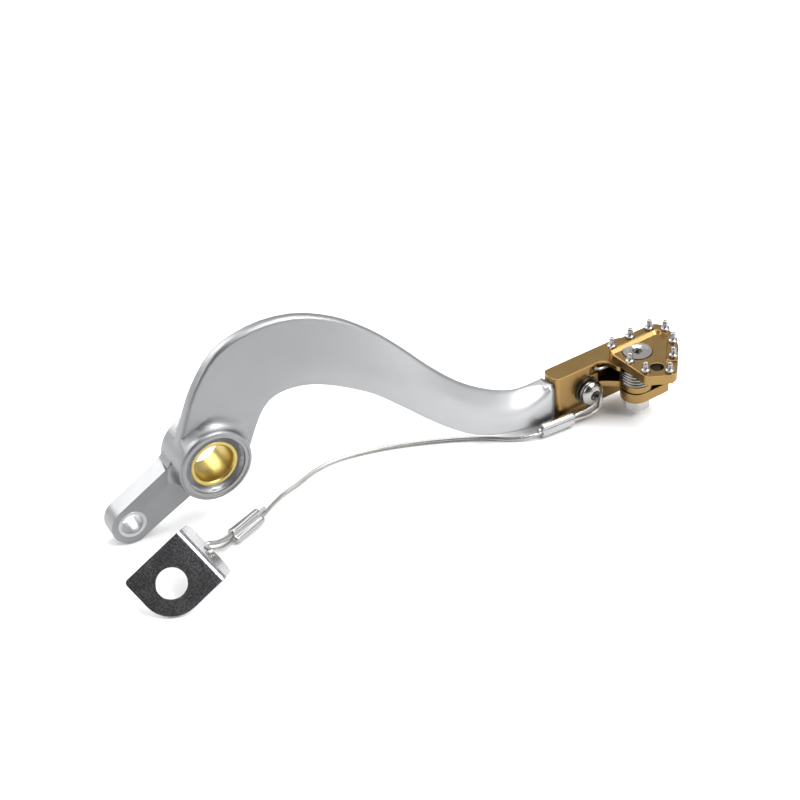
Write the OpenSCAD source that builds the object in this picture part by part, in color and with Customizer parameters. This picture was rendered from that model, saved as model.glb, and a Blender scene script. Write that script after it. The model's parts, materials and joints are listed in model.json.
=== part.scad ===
// Rear brake pedal: forged arm, machined tip bracket, sprung folding foot tip and safety tether.
// Frame: origin at the centre of the pivot bore, X forward to the toe tip, Y inboard along the bore, Z up.

/* [Pivot boss] */
// Bore of the pivot bush, which turns on the frame's pivot bolt
pivot_d = 15; // [12:0.5:16]
// Outside diameter of the pivot bush
bush_d = 18.6; // [18:0.1:20]
// Length of the pivot bush
bush_len = 15; // [12:0.5:16]
// Outside diameter of the boss
boss_d = 29; // [28:0.5:34]
// Length of the boss along the bore
boss_len = 18.5; // [18.5:0.5:24]
// Diameter of the seal recess in the outboard face
seal_d = 23.4; // [22:0.2:25]
// Depth of the seal recess below the outboard face
seal_depth = 2; // [1:0.25:3]
// Radius of the blend from the boss to the arm's outboard face
boss_blend = 5.5; // [3:0.5:6.5]

/* [Master cylinder lug] */
// Distance of the lug hole behind the pivot
lug_back = 31.6; // [29:0.2:36]
// Distance of the lug hole below the pivot
lug_down = 19; // [16:0.2:22]
// Radius of the lug's round end
lug_r = 8; // [7.6:0.1:9]
// Thickness of the lug
lug_t = 8; // [6:0.5:9]
// Middle of the lug, inboard of the middle of the boss
lug_y = 2.75; // [1:0.25:4]
// Radius of the fillets between the lug and the boss
lug_fillet = 15; // [8:0.5:18]
// Bore of the lug bush, which takes the clevis pin
clevis_d = 8.2; // [6:0.1:9]
// Outside diameter of the lug bush
clevis_bush_d = 11; // [10.2:0.1:12]

/* [Arm] */
// Distance of the tip's pivot in front of the pedal's pivot
reach = 180.2; // [170:0.2:195]
// Height of the bracket's top face at the tip's pivot, over the pedal's pivot
rise = -0.4; // [-6:0.2:6]
// How far outboard of the boss the tip's pivot lies
offset_out = 30.7; // [28:0.1:34]
// Upward pitch of the bracket and the tip
tip_pitch = 5.9; // [3:0.1:9]
// Width of the arm's body where it meets the bracket
arm_w = 9.5; // [9:0.1:11]
// Lowest radius at the corners of the arm's section
arm_round = 1.6; // [1:0.1:2]

/* [Tip bracket] */
// Height of the bracket
bracket_h = 21.6; // [20:0.2:24]
// Length of the bracket behind the tip's pivot
bracket_back = 35.1; // [34:0.1:38]
// How far the bracket runs in front of the tip's pivot
bracket_front = 7.9; // [7.4:0.1:8]
// Thickness of the bracket's top plate
plate_t = 2.5; // [2:0.1:3]
// Distance of the bracket's outboard wall from the tip's pivot
wall_y = 8.7; // [8.6:0.1:10]
// Thickness of the arm's tongue in the bracket
tongue_t = 5; // [4:0.1:5.5]
// Side clearance of the tongue in its slot
tongue_gap = 0.1; // [0.05:0.05:0.3]
// Radius of the bracket's ear round the tip's pivot
ear_r = 6.4; // [6:0.1:7]
// Height of the ear's upper face below the bracket's top
ear_top = 9.9; // [9.8:0.1:11]
// Thickness of the bracket's ear
ear_t = 3; // [2.5:0.1:4]

/* [Foot tip] */
// Height of the foot tip's upper arm
tip_t = 5.3; // [4.6:0.1:7]
// Depth of the recess in the foot tip
tip_recess = 1.1; // [0.8:0.1:2]
// Thickness of the foot tip's lower arm
fork_t = 4.6; // [3.5:0.1:6]
// Width of the web that joins the two arms of the foot tip
web_t = 4.7; // [4:0.1:6]
// Running clearance between the foot tip and the bracket
tip_gap = 0.2; // [0.1:0.05:0.3]
// Length of a cleat's hexagon base
cleat_base_h = 1.6; // [1.2:0.1:3]
// Length of a cleat's stud over its base
cleat_stud_h = 2.8; // [2:0.1:5]
// Width across the flats of a cleat's base
cleat_af = 3.6; // [3:0.1:4]
// Diameter of a cleat's stud
cleat_d = 2.3; // [1.8:0.1:3]

/* [Fasteners and spring] */
// Shank diameter of the bracket bolt and of the tip's pivot bolt
bolt_d = 6; // [5:0.5:6]
// Radial clearance of a shank in its hole
bolt_gap = 0.1; // [0.05:0.05:0.2]
// Diameter of the tip pivot bolt's flat head
pivot_head_d = 11.9; // [11:0.1:12.6]
// Outside diameter of the sleeve that the tip turns on
sleeve_d = 8; // [7.5:0.1:9]
// Radial running clearance between the sleeve and the bracket's ear
sleeve_gap = 0.05; // [0.03:0.01:0.1]
// Width across the flats of the pivot nut
nut_af = 10; // [9.5:0.5:10]
// Height of the pivot nut
nut_h = 5; // [4:0.25:5.2]
// Diameter of the bracket bolt's round head
button_d = 10.5; // [10:0.1:11]
// Height of the bracket bolt's round head
button_h = 3.3; // [3:0.1:3.6]
// Thickness of the washer under the round head
washer_t = 1; // [0.8:0.1:1.2]
// Wire of the torsion spring
wire_d = 1.3; // [1:0.05:1.35]
// Middle radius of the torsion spring's coils
coil_r = 6.6; // [6:0.1:6.9]
// Full turns of the torsion spring
coils = 5; // [4:1:5]

/* [Tether] */
// Diameter of the tether's wire rope
rope_d = 1.7; // [1.5:0.1:1.8]
// Width of a crimped ferrule across both strands
ferrule_w = 6.4; // [5.6:0.1:7]
// Thickness of a crimped ferrule
ferrule_t = 3.8; // [3.4:0.1:4.2]
// Side of the anchor tab's face, along its bend
tab_w = 23; // [22.4:0.2:26]
// Depth of the anchor tab's face, away from its bend
tab_len = 26; // [25:0.2:28]
// Depth of the anchor tab's flange
tab_flange = 14; // [12:0.2:14]
// Thickness of the anchor tab's sheet
tab_t = 1.6; // [1:0.1:2]
// Outside radius of the anchor tab's bend
tab_bend = 2.6; // [2.4:0.1:3.2]
// Diameter of the hole in the anchor tab
tab_hole_d = 10.8; // [8:0.2:12]

/* [Hidden] */
$fn = 64;

aluminium = "silver";
gold = [0.66, 0.53, 0.32];
brass = [0.85, 0.70, 0.35];
steel = [0.75, 0.76, 0.77];
dark_steel = [0.42, 0.43, 0.45];

// The face of the boss, the seat of the bush in it and the surface that the tether lies on
face_y = -boss_len / 2;
bush_y = face_y + seal_depth;
ground_z = -27.5;

// Reach and rise for which the arm's stations below are written
STATION_TIP = [180.2, -0.4];
// Outboard shift of the blade at the boss, and of the arm at the bracket
blade_y = -1.5;
arm_end_y = -offset_out + wall_y + arm_w / 2;

// Stations along the arm, from inside the boss to the bracket:
// upper edge x and z, lower edge x and z, upper inboard, upper outboard,
// ridge height as a share of the section, ridge, lower outboard and lower inboard offsets
STATIONS = [
    [-13.4,  -4.0,  13.4,  -4.0, 3.5, -3.2, 0.50, -4.0, -3.4, 3.5],
    [-12.4,   7.0,  16.0,   0.0, 3.5, -2.8, 0.42, -4.0, -3.4, 3.5],
    [ -8.8,  17.0,  18.6,   7.0, 3.5, -2.0, 0.30, -4.1, -3.6, 3.5],
    [ -3.4,  30.0,  21.4,  13.4, 3.5, -1.3, 0.18, -4.3, -3.8, 3.5],
    [  6.0,  42.2,  25.0,  18.0, 3.5, -1.0, 0.12, -4.5, -4.0, 3.6],
    [ 20.0,  48.0,  30.0,  20.2, 3.5, -1.0, 0.12, -4.8, -4.2, 3.7],
    [ 37.0,  48.8,  37.0,  20.6, 3.5, -1.0, 0.18, -5.2, -4.4, 3.8],
    [ 53.0,  44.2,  45.5,  19.0, 3.6, -0.8, 0.23, -5.2, -4.4, 4.0],
    [ 67.0,  36.0,  55.5,  15.2, 3.8, -0.4, 0.28, -5.2, -4.4, 4.0],
    [ 79.5,  25.5,  66.5,   9.6, 4.0,  0.4, 0.36, -5.1, -4.4, 4.2],
    [ 91.0,  14.5,  79.0,   0.2, 4.2,  1.2, 0.45, -5.0, -4.2, 4.3],
    [104.0,   4.0,  93.5, -10.8, 4.4,  2.0, 0.50, -4.9, -4.2, 4.4],
    [117.5,  -3.4, 109.0, -19.6, 4.6,  2.5, 0.52, -4.8, -4.2, 4.5],
    [129.5,  -7.4, 125.0, -23.2, 4.7,  2.4, 0.58, -4.8, -4.2, 4.6],
    [138.5,  -7.4, 138.0, -24.8, 4.7,  0.5, 0.75, -4.8, -4.4, 4.7],
    [144.6,  -6.6, 146.3, -25.2, 4.7, -3.2, 0.90, -4.7, -4.4, 4.7]];
// Rings of the loft between two stations, and points on each rounded corner of a section
ring_steps = 3;
corner_steps = 4;

// Foot tip outline round its pivot, each corner with its radius: x, y, radius
TIP_OUTLINE = [[20.4, 10.8, 4.5], [-9.3, 10.8, 6.5], [-9.3, -16.8, 3], [1.4, -22.9, 4.4], [14.7, -8.6, 16],
               [18.8, -1, 9]];
// The recess, which is open to the rear and the outboard side
TIP_FLOOR = [[16.6, 6.2, 2.8], [-14, 5.6, 1], [-14, -30, 1], [19, -28, 1], [3.6, -13.6, 1.5], [9.8, -6.8, 14],
             [15.4, -1, 8]];
FORK_OUTLINE = [[-6.8, -6.5, 6.3], [12.95, -6.5, 1.6], [12.95, 6.5, 1.6], [-6.8, 6.5, 6.3]];
// Places of the cleats on the rim, and of those on the recess's open side
CLEATS = [[-6.9, 7.9], [3.3, 8.6], [13.6, 8.6], [18.2, 4], [14.8, -4.8], [8.0, -12.8]];
LOW_CLEATS = [[0.8, -18.9], [-6.5, -12.9], [-7.2, -3.9]];
// Round hole in the floor of the foot tip: x, y and radius
TIP_HOLE = [-1.2, -13.6, 2.7];

// Heights in the tip's own frame, whose origin lies on the bracket's top face on the tip's pivot
platform_z = tip_gap;
floor_z = tip_gap + tip_t - tip_recess;
ear_bottom = ear_top + ear_t;
fork_top = ear_bottom + tip_gap;
fork_bottom = fork_top + fork_t;
slot_y = wall_y + (arm_w - tongue_t) / 2;
tongue_end = 16.2;
fork_r = 6.8;
pocket_r = 8.4;

// Bracket bolt, behind and below the tip's pivot
bolt_x = -19.5;
bolt_z = -11;
eye_space = 1.9;
head_y = wall_y - eye_space - washer_t;

// Spring: middle height of its highest coil, and its rise for each turn
coil_top = -2.3;
coil_pitch = 1.38;
leg_back = 15.4;

// Rope route on the ground, from the front ferrule to the rear one
ROUTE = [[137.4, -25, -24.6], [133, -24.4, -25.1], [129, -22.6, -25.9], [125, -20.1, -26.5],
         [121, -17.1, -26.6], [117, -14.1, -26.6], [112, -11, -26.6], [106, -8, -26.6], [99, -5, -26.6],
         [91, -2, -26.6], [83, 0.6, -26.6], [75, 2.6, -26.6], [67, 4, -26.6], [60, 4.7, -26.6],
         [53, 4.4, -26.6], [46.5, 2.9, -26.6], [41, 0.7, -26.6], [36.5, -1.4, -26.6], [32, -3, -26.6],
         [27.5, -4.9, -26.5], [23.4, -7.6, -26.1], [20, -10.1, -25.6], [16.6, -12.8, -25.2],
         [12.9, -15, -25]];

// Front eye in the tip's frame, from one bore of the ferrule round the bracket bolt to the other
FRONT_EYE = [[-29.5, 5.7, -19.0], [-25, 5.9, -18.9], [-20.5, 6.2, -18.9], [-17.1, 6.5, -18.1],
             [-15.8, 6.7, -16.4], [-17.4, 6.75, -15.2], [-20.2, 6.75, -15.4], [-22.9, 6.75, -13.7],
             [-23.6, 6.75, -11], [-22.5, 6.75, -8.3], [-19.7, 6.75, -7.1], [-16.8, 6.75, -8.1],
             [-15, 6.75, -10.8], [-14, 6.7, -14.6], [-13.9, 6.5, -18.6], [-15.6, 6.2, -21.3],
             [-19.4, 6, -22.3], [-24.4, 5.8, -21.7], [-29.5, 5.7, -20.8]];
// Ends of the two ferrules, and the direction across their strands
FRONT_FERRULE = [[-29, 5.7, -19.9], [-45.6, 5.7, -18.8]];
FRONT_ACROSS = [0, 0, 1];
REAR_FERRULE = [[13.2, -14.3, -24.3], [-0.9, -20.8, -24.3]];
REAR_ACROSS = [-0.27, 0.58, 0.77];
// Cut ends of the rope that stand out of the two ferrules
FRONT_END = [[136.9, -25, -22.9], [135.2, -25.2, -23.0]];
REAR_END = [[12.5, -14, -23.6], [16.3, -12.2, -23.5]];

// Anchor tab: its upper corner at the bend, the direction along the bend and the one across its face
TAB_CORNER = [-24.5, -31.1, -4.1];
TAB_ALONG = [0.39, -0.68, -0.621];
TAB_ACROSS = [-0.887, -0.095, -0.453];
// How far the tab's flange leans out from a right angle, and where the eye's hole is in it
tab_lean = 16;
TAB_EYE_HOLE = [12.6, 8, 5];

// Rear eye, from one bore of the rear ferrule through the flange's hole and back to the other bore
REAR_EYE = [[-0.2, -21, -25], [-3.4, -23.4, -24.4], [-7, -26.4, -22.6], [-9.9, -29.4, -20.1],
            [-12.4, -32, -17.6], [-14.2, -33.4, -16.1], [-16.3, -33.8, -16.3], [-17.5, -32.7, -17.6],
            [-17.2, -30.4, -18.7], [-15.9, -27.9, -19.1], [-13.9, -26.6, -18.5], [-12.1, -26.2, -18.7],
            [-9.4, -24.8, -20.6], [-5, -22.5, -22.6], [-0.7, -20, -23.6]];

// Small helpers on points
function unit(v) = v / norm(v);
function clamp01(t) = max(0, min(1, t));
function ease(t) = clamp01(t) * clamp01(t) * (3 - 2 * clamp01(t));
function turn(a, b) = let (d = b - a) d > 180 ? d - 360 : d < -180 ? d + 360 : d;

// Corner i of a closed outline of [x, y, radius], as the points of its arc
function corner_arc(pts, i, steps) =
    let (n = len(pts), p = [pts[i][0], pts[i][1]], r = pts[i][2],
         a = pts[(i + n - 1) % n], b = pts[(i + 1) % n],
         u = unit([a[0], a[1]] - p), v = unit([b[0], b[1]] - p),
         half = acos(u * v) / 2, c = p + unit(u + v) * r / sin(half),
         s = p + u * r / tan(half) - c, e = p + v * r / tan(half) - c,
         a0 = atan2(s[1], s[0]), sweep = turn(a0, atan2(e[1], e[0])))
    [for (k = [0:steps]) c + r * [cos(a0 + sweep * k / steps), sin(a0 + sweep * k / steps)]];
function rounded(pts, steps = 8) = [for (i = [0:len(pts) - 1]) each corner_arc(pts, i, steps)];

// Catmull-Rom curve through rows of numbers, with the given steps between two rows
function catmull(p0, p1, p2, p3, t) =
    0.5 * (2 * p1 + (p2 - p0) * t + (2 * p0 - 5 * p1 + 4 * p2 - p3) * t * t
           + (3 * p1 - p0 - 3 * p2 + p3) * t * t * t);
function curve(rows, steps) =
    let (n = len(rows))
    [for (i = [0:n - 2], k = [0:steps - 1])
        catmull(rows[max(i - 1, 0)], rows[i], rows[i + 1], rows[min(i + 2, n - 1)], k / steps),
     rows[n - 1]];

// Closed solid through a list of rings with equal point counts
function ring_faces(rings, sides) =
    [for (i = [0:rings - 2], k = [0:sides - 1])
        let (a = i * sides + k, b = i * sides + (k + 1) % sides)
        each [[a, a + sides, b], [b, a + sides, b + sides]]];
module loft(rings) {
    sides = len(rings[0]);
    count = len(rings);
    start = [for (k = [0:sides - 1]) k];
    end = [for (k = [sides - 1:-1:0]) (count - 1) * sides + k];
    polyhedron([for (r = rings) each r], concat(ring_faces(count, sides), [start, end]));
}

// Round tube along a path; side is any direction that the path never takes
function along(path, i) = unit(path[min(i + 1, len(path) - 1)] - path[max(i - 1, 0)]);
module tube(path, d, side, sides = 8) {
    loft([for (i = [0:len(path) - 1])
        let (t = along(path, i), u = unit(cross(side, t)), v = cross(t, u))
        [for (k = [0:sides - 1]) path[i] + d / 2 * (cos(360 * k / sides) * u + sin(360 * k / sides) * v)]]);
}

// Extrudes a shape drawn in the plane of X and Z, from y0 to y1
module across(y0, y1) {
    translate([0, y1, 0]) rotate([90, 0, 0]) linear_extrude(y1 - y0) children();
}
// Cylinder along Y, from y0 to y1, at a point of the plane of X and Z
module rod(x, z, r, y0, y1) {
    translate([x, y1, z]) rotate([90, 0, 0]) cylinder(r = r, h = y1 - y0);
}
// Cylinder about the tip's pivot, from z0 to z1
module disc(r, z0, z1) {
    translate([0, 0, z0]) cylinder(r = r, h = z1 - z0);
}
// Extrudes a plan shape from z0 to z1
module slab(z0, z1) {
    translate([0, 0, z0]) linear_extrude(z1 - z0) children();
}
module at_tip() {
    translate([reach, -offset_out, rise]) rotate([0, -tip_pitch, 0]) children();
}

// Sideways shift of the arm at a distance in front of the pivot
function bend(x) = blade_y + (arm_end_y - blade_y) * ease((x - 20) / 110);
// Moves a station's point with the reach and the rise
function follow(x, z) =
    let (s = ease((x - 20) / 90)) [x + s * (reach - STATION_TIP[0]), z + s * (rise - STATION_TIP[1])];

// One section of the arm, with its corners rounded, as points in space
function section_point(s, h, y) =
    let (a = follow(s[2], s[3]), b = follow(s[0], s[1]), p = a + h * (b - a), k = arm_w / 9.5)
    [p[0], bend(p[0]) + k * y, p[1]];
function bezier(a, b, c, t) = (1 - t) * (1 - t) * a + 2 * t * (1 - t) * b + t * t * c;
function section(s) =
    let (h = norm([s[0] - s[2], s[1] - s[3]]),
         c = [[1, s[4], arm_round], [1, s[5], arm_round], [s[6], s[7], 4 * arm_round],
              [0, s[8], 1.3 * arm_round], [0, s[9], arm_round]],
         p = [for (q = c) section_point(s, q[0], q[1])])
    [for (i = [0:4])
        let (a = p[(i + 4) % 5], b = p[i], e = p[(i + 1) % 5],
             la = min(c[i][2], 0.42 * norm(a - b)), le = min(c[i][2], 0.42 * norm(e - b)))
        for (k = [0:corner_steps]) bezier(b + la * unit(a - b), b, b + le * unit(e - b), k / corner_steps)];

module pedal_arm() {
    color(aluminium)
    difference() {
        union() {
            loft([for (s = curve(STATIONS, ring_steps)) section(s)]);
            boss();
            blend_to_boss();
            across(lug_y - lug_t / 2, lug_y + lug_t / 2) lug_plan();
            tongue();
        }
        rod(0, 0, bush_d / 2, -boss_len, boss_len);
        rod(0, 0, seal_d / 2, face_y - 1, bush_y);
        rod(0, 0, seal_d / 2 + 1.4, face_y - 1, face_y + 0.5);
        rod(-lug_back, -lug_down, clevis_bush_d / 2, -boss_len, boss_len);
        at_tip() rod(bolt_x, bolt_z, bolt_d / 2 + bolt_gap, 0, wall_y + arm_w);
    }
}

// The boss with rounded rims
module boss() {
    r = boss_d / 2;
    h = boss_len / 2;
    rim = 1;
    rotate([90, 0, 0]) rotate_extrude()
        polygon([[0, -h], [r - rim, -h], [r - 0.3 * rim, -h + 0.3 * rim], [r, -h + rim],
                 [r, h - rim], [r - 0.3 * rim, h - 0.3 * rim], [r - rim, h], [0, h]]);
}

// Side outline of the arm's blade, from its stations
module blade_outline() {
    rows = curve(STATIONS, ring_steps);
    polygon(concat([for (s = rows) follow(s[0], s[1])],
                   [for (i = [len(rows) - 1:-1:0]) follow(rows[i][2], rows[i][3])]));
}

// Hollow fillet from the boss's rim down to the outboard face of the blade
module blend_to_boss() {
    r = boss_d / 2;
    top = boss_len / 2 - 1;
    depth = 1.2 * boss_blend;
    intersection() {
        rotate([90, 0, 0]) rotate_extrude()
            polygon(concat([[r - 3, top - depth], [r - 3, top - 0.2], [r - 0.3, top - 0.2]],
                           [for (a = [15:12.5:90]) [r + boss_blend * (1 - cos(a)), top - depth * sin(a)]]));
        across(-boss_len / 2, 0) offset(-0.15) blade_outline();
    }
}

// Lug from the boss to its round end, with hollow fillets where it leaves the boss
module lug_plan() {
    root = 8.8;
    d = norm([lug_back, lug_down]);
    a = atan2(-lug_down, -lug_back);
    b = acos((root - lug_r) / d);
    hull() {
        circle(root);
        translate([-lug_back, -lug_down]) circle(lug_r);
    }
    for (side = [-1, 1]) {
        up = a + side * b;
        reach_out = lug_fillet * (side < 0 ? 1 : 0.3);
        // The fillet's centre is nearly its radius away from both the boss and the lug's straight edge
        sunk = 0.3;
        off = root + reach_out - sunk;
        along_lug = sqrt(pow(boss_d / 2 + reach_out - sunk, 2) - off * off);
        c = off * [cos(up), sin(up)] + along_lug * [cos(up - side * 90), sin(up - side * 90)];
        difference() {
            polygon([[0, 0], (boss_d / 2 - 2) * unit(c), c, c - (reach_out + 1) * [cos(up), sin(up)]]);
            translate(c) circle(reach_out);
        }
    }
}

// The flat end of the arm that the bracket is bolted over
module tongue() {
    at_tip() translate([-bracket_back - 4, slot_y, 0]) rotate([90, 0, 0]) mirror([0, 0, 1])
        linear_extrude(tongue_t)
        translate([0, -bracket_h + 1]) square([bracket_back + 4 - tongue_end, bracket_h - plate_t - 1.2]);
}

module pivot_bush() {
    color(brass) rotate([90, 0, 0]) translate([0, 0, -bush_y - bush_len])
    rotate_extrude()
        polygon([[pivot_d / 2, 0.4], [pivot_d / 2 + 0.4, 0], [bush_d / 2, 0], [bush_d / 2, bush_len],
                 [pivot_d / 2 + 0.5, bush_len], [pivot_d / 2, bush_len - 0.5]]);
}

module clevis_bush() {
    color(steel) translate([-lug_back, lug_y + lug_t / 2, -lug_down]) rotate([90, 0, 0])
    rotate_extrude()
        polygon([[clevis_d / 2, 0.4], [clevis_d / 2 + 0.4, 0], [clevis_bush_d / 2, 0],
                 [clevis_bush_d / 2, lug_t], [clevis_d / 2 + 0.4, lug_t], [clevis_d / 2, lug_t - 0.4]]);
}

// Outlines of the bracket's body, of its top plate and of its ear, round the tip's pivot
BODY = [[-bracket_back, wall_y, 2.2], [bracket_front, wall_y, 0.7], [bracket_front, wall_y + arm_w, 5],
        [-bracket_back, wall_y + arm_w, 2.2]];
PLATE = [[-bracket_back - 0.4, wall_y, 4.4], [-10.2, wall_y, 4], [-9.4, 1.5, 2.4], [-2.8, -ear_r, 3],
         [ear_r, -ear_r, ear_r - 0.6], [ear_r, 5.6, 0.5], [bracket_front, 6.6, 0.75],
         [bracket_front, wall_y + arm_w, 5], [-bracket_back - 0.4, wall_y + arm_w, 4.2]];
EAR = [[-13.5, wall_y + 1, 0.75], [-13.5, wall_y, 0.75], [-11.6, wall_y - 0.5, 3], [-6.2, 3.4, 2],
       [-ear_r, -ear_r, ear_r - 0.6], [ear_r, -ear_r, ear_r - 0.6], [ear_r, 5.6, 0.5],
       [bracket_front, 6.6, 0.75], [bracket_front, wall_y + 1, 0.75]];

module tip_bracket() {
    color(gold) at_tip() difference() {
        union() {
            slab(-bracket_h, 0) polygon(rounded(BODY));
            slab(-plate_t, 0) polygon(rounded(PLATE));
            slab(-ear_bottom, -ear_top) polygon(rounded(EAR));
        }
        spring_room();
        fork_room();
        translate([-bracket_back - 5, slot_y - tongue_gap, -bracket_h - 1])
            cube([bracket_back + 5 - tongue_end + 0.4, tongue_t + 2 * tongue_gap, bracket_h + 1 - plate_t]);
        rod(bolt_x, bolt_z, bolt_d / 2 + bolt_gap, 0, wall_y + arm_w + 1);
        disc(sleeve_d / 2 + sleeve_gap, -bracket_h, 1);
    }
}

// Pocket for the coils, open to the outboard side, and the notch for the spring's rear leg
module spring_room() {
    disc(pocket_r, -ear_top, 1);
    intersection() {
        disc(15.9, -ear_top, -plate_t);
        translate([-30, -30, -ear_top]) cube([32, 41.6, ear_top]);
    }
    // Notch for the spring's rear leg in the wall, and the groove for the leg under the plate
    top = coil_top + wire_d / 2 + 0.15;
    translate([-17.6, wall_y - 1, -5.2]) cube([5, 3, 5.2 + top]);
    translate([-14, coil_r - wire_d / 2 - 0.15, -plate_t - 1])
        cube([14, wall_y - coil_r + wire_d, plate_t + 1 + top]);
}

// Shallow recess below the ear, for the foot tip's lower arm
module fork_room() {
    intersection() {
        disc(14.3, -bracket_h - 1, -ear_bottom);
        translate([-30, -30, -bracket_h - 1]) cube([33, 40.4, bracket_h]);
    }
}

module bracket_bolt() {
    color(steel) at_tip() translate([bolt_x, head_y, bolt_z]) rotate([90, 0, 0]) difference() {
        rotate_extrude()
            polygon([[0, -(wall_y + arm_w - 0.4 - head_y)], [bolt_d / 2, -(wall_y + arm_w - 0.4 - head_y)],
                     [bolt_d / 2, 0], [button_d / 2, 0], [button_d / 2, 0.5],
                     for (a = [20:14:76]) [button_d / 2 * cos(a) + 0.3, button_h * sin(a)],
                     [1.4, button_h], [0, button_h]]);
        translate([0, 0, button_h - 2]) cylinder(d = 4.6, h = 3, $fn = 6);
    }
}

module bracket_washer() {
    color(steel) at_tip() difference() {
        rod(bolt_x, bolt_z, button_d / 2 + 0.7, wall_y - washer_t, wall_y);
        rod(bolt_x, bolt_z, bolt_d / 2 + bolt_gap, head_y - 1, wall_y + 1);
    }
}

// The fork: an upper platform, a web in front of the bracket's ear and a lower arm
module foot_tip() {
    color(gold) at_tip() difference() {
        union() {
            slab(platform_z, platform_z + tip_t) polygon(rounded(TIP_OUTLINE));
            slab(-fork_bottom, platform_z + 0.5) polygon(rounded(
                [[bracket_front + 0.35, -fork_r + 0.4, 0.8], [bracket_front + 0.35 + web_t, -fork_r + 0.4, 1.6],
                 [bracket_front + 0.35 + web_t, 9.4, 1.6], [bracket_front + 0.35, 9.4, 0.8]]));
            slab(-fork_bottom, -fork_top) polygon(rounded(FORK_OUTLINE));
        }
        slab(floor_z, floor_z + tip_recess + 1) polygon(rounded(TIP_FLOOR));
        disc(pivot_head_d / 2 + 0.2, floor_z - 0.8, floor_z + 4);
        disc(bolt_d / 2 + bolt_gap, -fork_bottom - 1, floor_z);
        translate([TIP_HOLE[0], TIP_HOLE[1], 0]) disc(TIP_HOLE[2], 0, 10);
    }
}

// One screwed-in cleat: a hexagon base under a stud with a domed end
module cleat() {
    cylinder(d1 = cleat_af * 1.02, d2 = cleat_af * 0.98, h = 0.3);
    cylinder(d = cleat_af / cos(30), h = cleat_base_h * 0.6, $fn = 6);
    translate([0, 0, cleat_base_h * 0.6]) rotate_extrude($fn = 24)
        polygon([[0, 0], [cleat_af / 2, 0], [cleat_d / 2, cleat_base_h * 0.4],
                 [cleat_d / 2, cleat_base_h * 0.4 + cleat_stud_h - 0.8],
                 [cleat_d * 0.36, cleat_base_h * 0.4 + cleat_stud_h - 0.15],
                 [cleat_d * 0.18, cleat_base_h * 0.4 + cleat_stud_h], [0, cleat_base_h * 0.4 + cleat_stud_h]]);
}
module cleats() {
    color(steel) at_tip()
    {
        for (c = CLEATS) translate([c[0], c[1], platform_z + tip_t]) cleat();
        for (c = LOW_CLEATS) translate([c[0], c[1], floor_z]) cleat();
    }
}

module tip_pivot_bolt() {
    head_t = 1;
    color(steel) at_tip() difference() {
        union() {
            disc(pivot_head_d / 2, floor_z - 0.8, floor_z - 0.8 + head_t);
            disc(bolt_d / 2, -fork_bottom - nut_h - 0.8, floor_z);
        }
        translate([0, 0, floor_z - 2]) cylinder(d = 4.6, h = 4, $fn = 6);
    }
}

module tip_pivot_sleeve() {
    color(steel) at_tip() difference() {
        disc(sleeve_d / 2, -fork_top, platform_z);
        disc(bolt_d / 2 + bolt_gap, -fork_top - 1, platform_z + 1);
    }
}

// Hexagon nut with chamfered corners, on the lower end of the pivot bolt
module tip_pivot_nut() {
    r = nut_af / 2 / cos(30);
    color(steel) at_tip() translate([0, 0, -fork_bottom - nut_h]) difference() {
        intersection() {
            cylinder(r = r, h = nut_h, $fn = 6);
            rotate_extrude() polygon([[0, 0], [r - 0.9, 0], [r, 0.6], [r, nut_h], [0, nut_h]]);
        }
        translate([0, 0, -1]) cylinder(r = bolt_d / 2 + 0.05, h = nut_h + 2);
    }
}

// Torsion spring: a straight leg that hooks into the bracket's notch, the coils, and a leg to the web
module tip_spring() {
    steps = 16;
    turns = [for (k = [0:coils * steps])
        let (a = 90 - 360 * k / steps)
        [coil_r * cos(a), coil_r * sin(a), coil_top - coil_pitch * k / steps]];
    last = turns[len(turns) - 1];
    path = concat([[-leg_back, wall_y + 1.2, coil_top], [-leg_back, wall_y, coil_top],
                   [-leg_back + 0.5, wall_y - 1.2, coil_top], [-leg_back + 1.6, coil_r, coil_top],
                   [-coil_r, coil_r, coil_top]],
                  turns, [last + [bracket_front + 0.1, 0, 0]]);
    color(dark_steel) at_tip() tube(path, wire_d, [0, 0, 1]);
}

// Crimped double ferrule between two points, as wide as both strands in the direction given
module ferrule(ends, side) {
    z = unit(ends[1] - ends[0]);
    x = unit(side - (side * z) * z);
    y = cross(z, x);
    multmatrix([[x[0], y[0], z[0], ends[0][0]], [x[1], y[1], z[1], ends[0][1]], [x[2], y[2], z[2], ends[0][2]]])
        linear_extrude(norm(ends[1] - ends[0])) {
            for (s = [-1, 1]) translate([s * (ferrule_w - ferrule_t) / 2, 0]) circle(d = ferrule_t);
            square([ferrule_w - ferrule_t, ferrule_t], center = true);
        }
}

module front_eye() {
    color(steel) at_tip() tube(curve(FRONT_EYE, 2), rope_d, [0, 1, 0]);
}
module front_ferrule() {
    color(steel) at_tip() ferrule(FRONT_FERRULE, FRONT_ACROSS);
}
module tether_cable() {
    color(steel) tube(curve(ROUTE, 2), rope_d, [0, 0, 1]);
}
module rear_ferrule() {
    color(steel) ferrule(REAR_FERRULE, REAR_ACROSS);
}
module rear_eye() {
    color(steel) tube(curve(REAR_EYE, 2), rope_d, [0.2, 0.45, 0.87]);
}

// Short cut ends of the rope, past the ferrules
module rope_ends() {
    color(steel) {
        tube(FRONT_END, rope_d, [0, 0, 1]);
        tube(REAR_END, rope_d, [0, 0, 1]);
    }
}

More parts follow.
